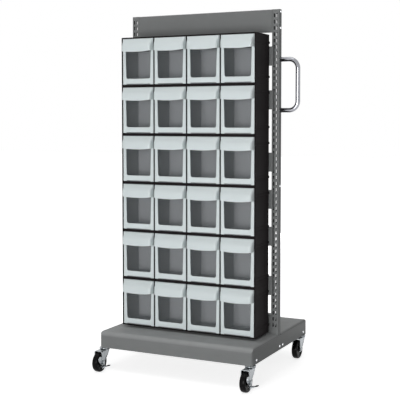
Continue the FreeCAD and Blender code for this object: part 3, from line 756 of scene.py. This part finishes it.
bm = bmesh.new()
low, high = -SLOT_PITCH / 2, SLOT_PITCH / 2
tube_skin(bm, low, high)
bm.normal_update()
plain = [face for face in bm.faces if abs(face.normal.y) > 0.99 and face.calc_area() > 100]
bmesh.ops.delete(bm, geom=plain, context="FACES_ONLY")
flat = TUBE_WIDTH / 2 - TUBE_CORNER
for depth in (-TUBE_DEPTH / 2, TUBE_DEPTH / 2):
    edge = [Vector(point) for point in ((-flat, low), (flat, low), (flat, high), (-flat, high))]
    slots = [oblong(x - SLOT_WIDTH / 2, -SLOT_HEIGHT / 2, x + SLOT_WIDTH / 2, SLOT_HEIGHT / 2,
                    SLOT_END, SLOT_END) for x in (-SLOT_ASIDE, SLOT_ASIDE)]
    plate(bm, [edge, *slots], facing_front, depth, depth)
bmesh.ops.remove_doubles(bm, verts=bm.verts, dist=0.01)
bmesh.ops.recalc_face_normals(bm, faces=bm.faces)
length = to_mesh(bm, "length", outward=False)
tower = grown(length, row_tree, Count=SLOT_ROWS, Step=(0, 0, SLOT_PITCH), Material=PAINT)
tower.transform(Matrix.Translation((0, 0, FIRST_ROW)))
bm = bmesh.new()
bm.from_mesh(tower)
tube_skin(bm, TUBE_FOOT, FIRST_ROW + low)
tube_skin(bm, FIRST_ROW + (SLOT_ROWS - 1) * SLOT_PITCH + high, TUBE_TOP)
bmesh.ops.remove_doubles(bm, verts=bm.verts, dist=0.01)
bm.normal_update()
turned_in = [face for face in bm.faces
             if face.normal.dot(face.calc_center_median() * Vector((1, 1, 0))) < 0]
bmesh.ops.reverse_faces(bm, faces=turned_in)
for face in bm.faces:
    face.material_index = 0
bare = to_mesh(bm, "upright", outward=False)
for material in (PAINT, TUBE_SHADE):
    bare.materials.append(material)
kind, settings = thick(TUBE_WALL)
upright = worked(bare, (kind, {**settings, "material_offset": 1, "material_offset_rim": 1}))
for side, name in ((-1, "upright_left"), (1, "upright_right")):
    piece(name + "_tube", upright.copy(), PAINT, "stand", [name],
          (side * UPRIGHT_X, UPRIGHT_Y, 0), smooth=40, inside=TUBE_SHADE)
print("upright faces", len(upright.polygons))

# %% [markdown]
# ## Sheet pans
# The header and the lower crossmember are shallow pans of folded sheet between the uprights, open
# at the back. A pan is a block without its rear face, its front folds rounded, then thickened.

# %% Fold the pans
SHEET, FOLD = 1.5, 2.5
INNER_X, OUTER_X = UPRIGHT_X - TUBE_WIDTH / 2, UPRIGHT_X + TUBE_WIDTH / 2
UPRIGHT_FRONT, UPRIGHT_BACK = UPRIGHT_Y - TUBE_DEPTH / 2, UPRIGHT_Y + TUBE_DEPTH / 2


def pan(z0, z1):
    """A pan between the uprights and between two heights."""
    bm = bmesh.new()
    block(bm, (-INNER_X, UPRIGHT_FRONT, z0), (INNER_X, UPRIGHT_BACK, z1))
    bm.normal_update()
    rear = [face for face in bm.faces if face.normal.y > 0.9]
    bmesh.ops.delete(bm, geom=rear, context="FACES_ONLY")
    folds = [edge for edge in bm.edges if len(edge.link_faces) == 2]
    bmesh.ops.bevel(bm, geom=folds, offset=FOLD, segments=4, profile=0.5, affect="EDGES")
    return worked(to_mesh(bm, "pan"), thick(SHEET))


for name, (z0, z1) in {"header_panel": (1380, 1470), "lower_crossmember": (160, 238)}.items():
    piece(name + "_pan", pan(z0, z1), PAINT, "stand", [name])
print("header and crossmember folded")

# %% [markdown]
# ## Base
# The base is a formed cover: a flat deck whose front and rear edges roll over on a large radius and
# whose ends roll on a smaller one. The rolls meet at rounded corners. Three long prisms, one for
# each direction, have those rounded outlines, and what all three share is the cover's outside. The
# same shape a sheet smaller is cut from it, and the ends are cut open for the end plates.

# %% Form the base cover
DECK_X, DECK_FRONT, DECK_BACK, DECK_TOP, SKIRT = 340.0, -118.0, 487.0, 160.0, 93.0
FRONT_ROLL, END_ROLL, CORNER_ROLL = 25.0, 9.0, 10.0
PLATE_INSET, PLATE_GAP, NOTCH_GAP, CUT = 15.0, 0.3, 0.5, 4.0


def prism(outline, upright, start, end):
    """A solid plate through one outline."""
    bm = bmesh.new()
    plate(bm, [outline], upright, start, end)
    return to_mesh(bm, "prism")


def rolled_block(inset, drop=0.0):
    """The outside of the cover, or a smaller one to cut from it."""
    x, y0, y1 = DECK_X - inset, DECK_FRONT + inset, DECK_BACK - inset
    z0, z1 = SKIRT - drop, DECK_TOP - inset
    roll, end, corner = FRONT_ROLL - inset, END_ROLL - inset, CORNER_ROLL - inset
    along = prism(oblong(y0, z0, y1, z1, 0, roll, 10), facing_side, -x, x)
    across = prism(oblong(-x, z0, x, z1, 0, end, 8), facing_front, y0, y1)
    down = prism(oblong(-x, y0, x, y1, corner, corner, 8), facing_up, z0, z1)
    return combined(combined(along, across, "INTERSECT"), down, "INTERSECT")


def at_both_ends(inner, outer, y0, y1, z0, z1):
    """Two equal blocks, between two distances to the left and to the right."""
    bm = bmesh.new()
    for side in (-1, 1):
        near, far = sorted((side * inner, side * outer))
        block(bm, (near, y0, z0), (far, y1, z1))
    return to_mesh(bm, "cutters")


cover = combined(rolled_block(0.0), rolled_block(SHEET, 1.0), "DIFFERENCE")
plate_front, plate_back = DECK_FRONT + PLATE_INSET, DECK_BACK - PLATE_INSET
plate_top = DECK_TOP - END_ROLL
cover = combined(cover, at_both_ends(DECK_X - CUT, DECK_X + CUT, plate_front, plate_back,
                                     SKIRT - CUT, plate_top), "DIFFERENCE")
cover = combined(cover, at_both_ends(INNER_X - NOTCH_GAP, DECK_X + CUT, UPRIGHT_FRONT - NOTCH_GAP,
                                     UPRIGHT_BACK + NOTCH_GAP, plate_top - 3, DECK_TOP + CUT),
                 "DIFFERENCE")
cover = worked(cover, eased(0.35, 1, 50))
piece("base_cover_formed", cover, PAINT, "stand", ["base_cover"], smooth=25)
for side, name in ((-1, "base_end_left"), (1, "base_end_right")):
    y0, y1, z1 = plate_front + PLATE_GAP, plate_back - PLATE_GAP, plate_top - PLATE_GAP
    end_plate = prism(oblong(y0, SKIRT, y1, z1, 1, 1, 3), facing_side, side * (DECK_X - SHEET),
                      side * DECK_X)
    piece(name + "_plate", worked(end_plate, eased(0.5, 2)), PAINT, "stand", [name])
print("cover faces", len(cover.polygons))

# %% [markdown]
# ## Handle
# The handle is one bent tube. Its path is a line through four points; the tree for tubes rounds
# the two corners to the bend of the tube and lays a round section along it.

# %% Bend the handle
HANDLE_TOP, HANDLE_BOTTOM, GRIP_X = 1270.0, 1067.0, 413.0
HANDLE_BEND, HANDLE_RADIUS = 36.0, 9.5
bm = bmesh.new()
stops = [bm.verts.new((x, UPRIGHT_Y, z)) for x, z in (
    (OUTER_X, HANDLE_BOTTOM), (GRIP_X, HANDLE_BOTTOM), (GRIP_X, HANDLE_TOP), (OUTER_X, HANDLE_TOP))]
for pair in zip(stops, stops[1:]):
    bm.edges.new(pair)
path_mesh = to_mesh(bm, "handle_path", outward=False)
handle_mesh = grown(path_mesh, tube_tree, Bend=HANDLE_BEND, Radius=HANDLE_RADIUS, Material=CHROME)
piece("handle_tube", handle_mesh, CHROME, "stand", ["handle"], smooth=50)
print("handle faces", len(handle_mesh.polygons))

# %% [markdown]
# ## Screws
# Fourteen pan-head screws hold the stand. One head is turned and given a cross recess; the tree for
# seats puts it on each seat, facing outwards.

# %% Drive the screws
bm = bmesh.new()
turned(bm, [(-1.0, 2.4), (0, 2.4), (0, 5.0), (0.9, 5.0), (1.9, 4.4), (2.5, 3.1), (2.6, 2.2)],
       (0, 0, 0), "Z", 24)
head = to_mesh(bm, "head")
for across, along in ((0.5, 2.4), (2.4, 0.5)):
    bm = bmesh.new()
    block(bm, (-across, -along, 1.4), (across, along, 3.5))
    head = combined(head, to_mesh(bm, "recess"), "DIFFERENCE")
head_object = linked("head", head)
seats = [(OUTER_X, UPRIGHT_Y, z) for z in (1461, 1396, 762)]
seats += [(DECK_X, y, 108.5) for y in (-77.5, 166, 199, 446.5)]
seats += [(-x, y, z) for x, y, z in seats]
seat_mesh = bpy.data.meshes.new("seats")
seat_mesh.from_pydata(seats, [], [])
facing = seat_mesh.attributes.new("outwards", "FLOAT_VECTOR", "POINT")
for item, seat in zip(facing.data, seats):
    item.vector = (math.copysign(1, seat[0]), 0, 0)
screws = grown(seat_mesh, seat_tree, Shape=head_object, Material=SCREW)
bpy.data.objects.remove(head_object)
piece("frame_screw_heads", screws, SCREW, "stand", ["frame_screws"])
print("screws", len(seats))

# %% [markdown]
# ## Casters
# Each caster has a top plate with a swivel race, a pressed fork, and a wheel on an axle bolt. The
# fork is one strip bent into an arch: rows of points run up one leg, over the crown and down the
# other, and the strip's edges follow the leg's outline. Across the strip the points stand out by
# different amounts, for the pressed flange and groove. The front casters carry a brake lever too.

# %% Shape the fork, the wheel and the axle
AXLE_Y, WHEEL_RADIUS = -42.0, 40.0
LEG_INNER, FORK_SHEET, FORK_BEND, FORK_FOOT, CROWN = 13.5, 2.5, 5.0, 9.0, 87.0
PRESSED = (2.2, 2.4, 1.9, -0.6, -0.8, -0.2, 0.2, 0.2, 0.2, 0.2, -0.3, -0.6, 1.4)
leg_x = LEG_INNER + FORK_SHEET


def leg_limits(z):
    """Front and rear edge of a fork leg at a height."""
    if z < WHEEL_RADIUS:
        reach = math.sqrt(max(FORK_FOOT ** 2 - (z - WHEEL_RADIUS) ** 2, 0.2))
        return AXLE_Y - reach, AXLE_Y + reach
    share = min((z - WHEEL_RADIUS) / 37.0, 1.0)
    return AXLE_Y - FORK_FOOT, AXLE_Y + FORK_FOOT + (6 - AXLE_Y - FORK_FOOT) * share ** 0.8


heights = (31.05, 31.6, 33, 35, 37.5, 40, 46, 52, 58, 64, 70, 76, CROWN - FORK_BEND)
path = [(leg_x, z) for z in heights]
for step in range(1, 6):
    angle = math.pi / 2 * step / 5
    path.append((leg_x - FORK_BEND * (1 - math.cos(angle)),
                 CROWN - FORK_BEND * (1 - math.sin(angle))))
path += [(x, CROWN) for x in (7, 3.5, 0)]
path += [(-x, z) for x, z in path[-2::-1]]
bm = bmesh.new()
rings = []
for x, z in path:
    near, far = leg_limits(z)
    from_foot, from_crown = max(0.0, (z - 31) / 9), max(0.0, (CROWN - z) / 6)
    raised = min(1.0, from_foot) * min(1.0, from_crown) * (1 if x > 0 else -1)
    rings.append([(x + rise * raised, near + (far - near) * step / 12, z)
                  for step, rise in enumerate(PRESSED)])
skin(bm, rings, closed=False, caps=False)
face_towards(bm, (0, 0, 1))
arch = worked(to_mesh(bm, "arch", outward=False), thick(FORK_SHEET), eased(0.7, 2, 50))
bm = bmesh.new()
turned(bm, [(CROWN - down, radius) for down, radius in
            ((3.2, 6), (3.2, 19.6), (2.6, 20.6), (1.2, 21), (0.4, 20.6), (0, 19.6), (0, 6))],
       (0, 0, 0), "Z", 48, closed_profile=True)
crown_lip = to_mesh(bm, "crown")
fork = joined(arch, crown_lip)


def hexagon(bm, x0, x1, radius):
    """A bolt head or a nut across the axle."""
    chamfer = math.copysign(0.6, x1 - x0)
    rings = []
    for x, scale in ((x0, 0.93), (x0 + chamfer, 1.0), (x1 - chamfer, 1.0), (x1, 0.93)):
        rings.append([(x, AXLE_Y + radius * scale * math.cos(math.pi / 3 * k),
                       WHEEL_RADIUS + radius * scale * math.sin(math.pi / 3 * k))
                      for k in range(6)])
    skin(bm, rings)


def axle(reach):
    """The axle bolt, with washers under its head and its nut."""
    bm = bmesh.new()
    end = leg_x + reach
    centre = (0, AXLE_Y, WHEEL_RADIUS)
    turned(bm, [(-leg_x - 5.5, 2.9), (-leg_x - 5, 3.8), (end, 3.8)], centre, "X", 24)
    for inner, outer, outward in ((end, end + 0.8, 1), (-leg_x, -leg_x - 0.8, -1)):
        turned(bm, [(inner, 8.6), (outer, 8.6), (outer, 7)], centre, "X", 32)
        hexagon(bm, outer, outer + outward * 3.2, 7.6)
    return to_mesh(bm, "axle")


wheel_side = [(13.2, 4.2), (13.2, 8.4), (12.0, 10.0), (9.2, 11.4), (8.2, 14), (8.2, 24.5),
              (9.4, 27.2), (11.4, 28.4), (12.0, 29.4), (12.0, 31.6), (11.5, 32.0), (11.5, 32.8),
              (12.0, 33.2), (11.9, 35.6), (11.2, 37.4), (9.8, 38.7), (7.6, 39.6), (4.4, 40.0)]
bm = bmesh.new()
profile = wheel_side + [(-x, r) for x, r in wheel_side[::-1]]
turned(bm, profile, (0, AXLE_Y, WHEEL_RADIUS), "X", 64, closed_profile=True)
wheel = to_mesh(bm, "wheel")
print("fork faces", len(fork.polygons), "wheel faces", len(wheel.polygons))

# %% [markdown]
# The brake is a stamped lever. Its cheek lies flat beside the leg, with a cam above the axle, and a
# tab flares out below it to take a foot. The flare is a strip whose rows follow the bend. Its two
# edges are turned down in a hem that runs out towards the black sleeve at the tip.

# %% Stamp the brake lever
LEVER_X, LEVER_SHEET = 16.3, 2.0
bm = bmesh.new()
cheek = rounded([(-74, 50, 9), (-72, 67, 9), (-58, 67, 9), (-30, 42, 7), (-30, 27, 6),
                 (-50, 27, 9)], 6)
plate(bm, [cheek], facing_side, LEVER_X, LEVER_X + LEVER_SHEET)
bm.normal_update()
outside = [face for face in bm.faces if face.normal.x > 0.9 or
           (abs(face.normal.x) > 0.9 and face.calc_center_median().x > LEVER_X + 1)]
bmesh.ops.inset_region(bm, faces=outside, thickness=3.0, depth=0)
recess = list({vert for face in outside for vert in face.verts})
bmesh.ops.translate(bm, verts=recess, vec=(-1.1, 0, 0))
lever = worked(to_mesh(bm, "cheek"), eased(0.5, 2))
bm = bmesh.new()
rings = []
for x, z, near, far in ((17.3, 34.0, -54, -31), (17.5, 30.0, -54.4, -32), (18.4, 28.2, -55, -34),
                        (20.6, 27.2, -56, -37), (25, 27.2, -56.5, -39), (32, 28.0, -56, -40.5),
                        (39, 29.6, -55.2, -41.2), (46, 31.2, -54.6, -41.6), (52.5, 32.6, -54, -42)):
    hem = max(0.0, 1.0 - (x - 17) / 30) * 11.0
    rings.append([(x, near, z - hem), (x, near + 0.4, z - hem / 2), (x, near + 1.2, z - 0.6)]
                 + [(x, near + (far - near) * step / 6, z) for step in range(1, 6)]
                 + [(x, far - 1.2, z - 0.6), (x, far - 0.4, z - hem / 2), (x, far, z - hem)])
skin(bm, rings, closed=False, caps=False)
bmesh.ops.recalc_face_normals(bm, faces=bm.faces)
tab = worked(to_mesh(bm, "tab", outward=False), thick(LEVER_SHEET, 0), eased(0.5, 2, 50))
lever = joined(lever, tab)
bm = bmesh.new()
rings = []
for x, half_y, half_z, z in ((42.5, 8.0, 2.0, 30.6), (43.5, 8.6, 2.7, 30.8), (48, 8.6, 2.7, 31.9),
                             (52, 7.6, 2.3, 32.9), (54.2, 5.0, 1.2, 33.4)):
    rings.append([(x, -48 + half_y * math.cos(math.pi * k / 8),
                   z + half_z * math.sin(math.pi * k / 8)) for k in range(16)])
skin(bm, rings)
sleeve = worked(to_mesh(bm, "sleeve"), eased(0.6, 2, 50))
print("lever faces", len(lever.polygons))

# %% [markdown]
# The top plate is a turned disc with a rolled lip, and the bearing race sits below it. One mesh
# holds all four, because the frame has them as one node.

# %% Fit the four casters
CASTERS = {"front_left": (-326.0, -104.0), "front_right": (326.0, -104.0),
           "rear_left": (-326.0, 452.0), "rear_right": (326.0, 452.0)}
bm = bmesh.new()
turned(bm, [(93, 4.1), (93, 20.8), (92.4, 22), (90.4, 22), (89.6, 21.2), (89.4, 18.2), (88.2, 17.6),
            (87.3, 16.6), (87.3, 4.1)], (0, 0, 0), "Z", 48, closed_profile=True)
one_plate = to_mesh(bm, "plate")
plates = []
for x, y in CASTERS.values():
    copy = one_plate.copy()
    copy.transform(Matrix.Translation((x, y, 0)))
    plates.append(copy)
piece("caster_plates", joined(*plates), ZINC, "stand", ["caster_top_plates"])
for name, (x, y) in CASTERS.items():
    place = (x, y, 0)
    braked = name.startswith("front")
    body = joined(fork, axle(2.6 if braked else 0.0))
    piece("fork_" + name, body, ZINC, "swivel_" + name, ["caster_fork_" + name], place,
          smooth=40)
    piece("wheel_" + name, wheel.copy(), RUBBER, "wheel_" + name,
          ["caster_wheel_" + name], place, smooth=30)
    if braked:
        node = ["caster_brake_" + name]
        piece("lever_" + name, lever.copy(), ZINC, "brake_" + name, node, place, smooth=40)
        piece("sleeve_" + name, sleeve.copy(), SLEEVE, "brake_" + name, node, place,
              smooth=50)
print("casters", len(CASTERS))

# %% [markdown]
# ## What stays as it was packed
# The hanging rails, the channels and crossbar under the deck and the swivel bolts keep the frame's
# own solids. They only get the finish of the parts beside them.

# %% Finish the carried-over parts
kept = [f"hanging_rail_{number}" for number in range(1, UNITS + 1)]
kept += ["base_front_channel", "base_rear_channel", "base_crossbar", "caster_bolts"]
for name in kept:
    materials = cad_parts[name].data.materials
    materials.clear()
    materials.append(ZINC if name == "caster_bolts" else PAINT)
print("kept", len(kept))

# %% [markdown]
# ## Studio
# The floor is plain and pale. The camera, and what the chrome mirrors, see it brighten to white
# away from the cart, so that no horizon shows, while near the cart it still takes a soft shadow.
# Four large lamps and an even sky light the cart so that a colour looks about as it is written. The
# lamp at the back gives no mirror image, which would lie on the deck as a white patch.

# %% Lay the floor and set the lamps
FLOOR_HALF = 20
bm = bmesh.new()
skin(bm, [[(-FLOOR_HALF, y, 0), (FLOOR_HALF, y, 0)] for y in (-FLOOR_HALF, FLOOR_HALF)],
     closed=False, caps=False)
floor_mesh = bpy.data.meshes.new("floor")
bm.to_mesh(floor_mesh)
bm.free()
linked("floor", floor_mesh)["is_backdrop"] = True


def seen_rays(tree):
    """1 for rays from the camera and for mirrored and clear rays, otherwise 0."""
    rays = [tree.node("ShaderNodeLightPath", output=name)
            for name in ("Is Camera Ray", "Is Glossy Ray", "Is Transmission Ray")]
    total = rays[0] + rays[1] + rays[2]
    return tree.node("ShaderNodeMath", {"operation": "MINIMUM"}, {0: total, 1: 1.0})


floor_material = bpy.data.materials.new("pale_floor")
floor_material.use_nodes = True
tree = Tree(floor_material.node_tree)
coordinates = tree.node("ShaderNodeTexCoord", output="Object")
away = tree.node("ShaderNodeVectorMath", {"operation": "LENGTH"}, {0: coordinates}, output="Value")
edge = tree.node("ShaderNodeMapRange", {"interpolation_type": "SMOOTHSTEP"},
                 {"Value": away, "From Min": 0.35, "From Max": 1.1, "To Min": 0.76, "To Max": 1.0})
glow = edge * seen_rays(tree)
grey_glow = tree.node("ShaderNodeCombineColor", {}, {0: glow, 1: glow, 2: glow})
tree.fill(floor_material.node_tree.nodes["Principled BSDF"],
          {"Base Color": (0.8, 0.8, 0.8, 1), "Roughness": 0.9, "Specular IOR Level": 0.1,
           "Emission Color": grey_glow, "Emission Strength": 1.0})
floor_mesh.materials.append(floor_material)

world = bpy.data.worlds.new("studio")
world.use_nodes = True
bpy.context.scene.world = world
tree = Tree(world.node_tree)
AMBIENT = 0.17
tree.fill(world.node_tree.nodes["Background"],
          {"Color": (1, 1, 1, 1), "Strength": AMBIENT + seen_rays(tree) * (1 - AMBIENT)})

LAMPS = {"key": ((0.5, -4.6, 0.5), 2.2, 160), "top": ((-0.2, -0.7, 3.6), 2.0, 18),
         "side": ((3.6, -1.0, 1.2), 1.8, 2), "back": ((-0.5, 4.4, 0.6), 1.8, 70)}
for name, (place, size, power) in LAMPS.items():
    lamp_data = bpy.data.lights.new(name, "AREA")
    lamp_data.size = size
    lamp_data.energy = power
    lamp = linked(name, lamp_data)
    lamp.location = place
    lamp.rotation_euler = (Vector((0, 0, 0.75)) - Vector(place)).to_track_quat("-Z", "Y").to_euler()
    lamp.visible_glossy = name != "back"
print("lamps", list(LAMPS))

# %% [markdown]
# ## Measure
# The boxes of the frame's solids and of the dressed cart are printed side by side. The
# dressed cart must stay within the box of its solids.

# %% Measure and finish
bpy.context.view_layer.update()
dressed_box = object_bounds()
boxes = {"cad": [list(corner) for corner in cad_box], "visual": [list(corner) for corner in dressed_box]}
for name, box in boxes.items():
    print(name, [[round(value, 4) for value in corner] for corner in box])
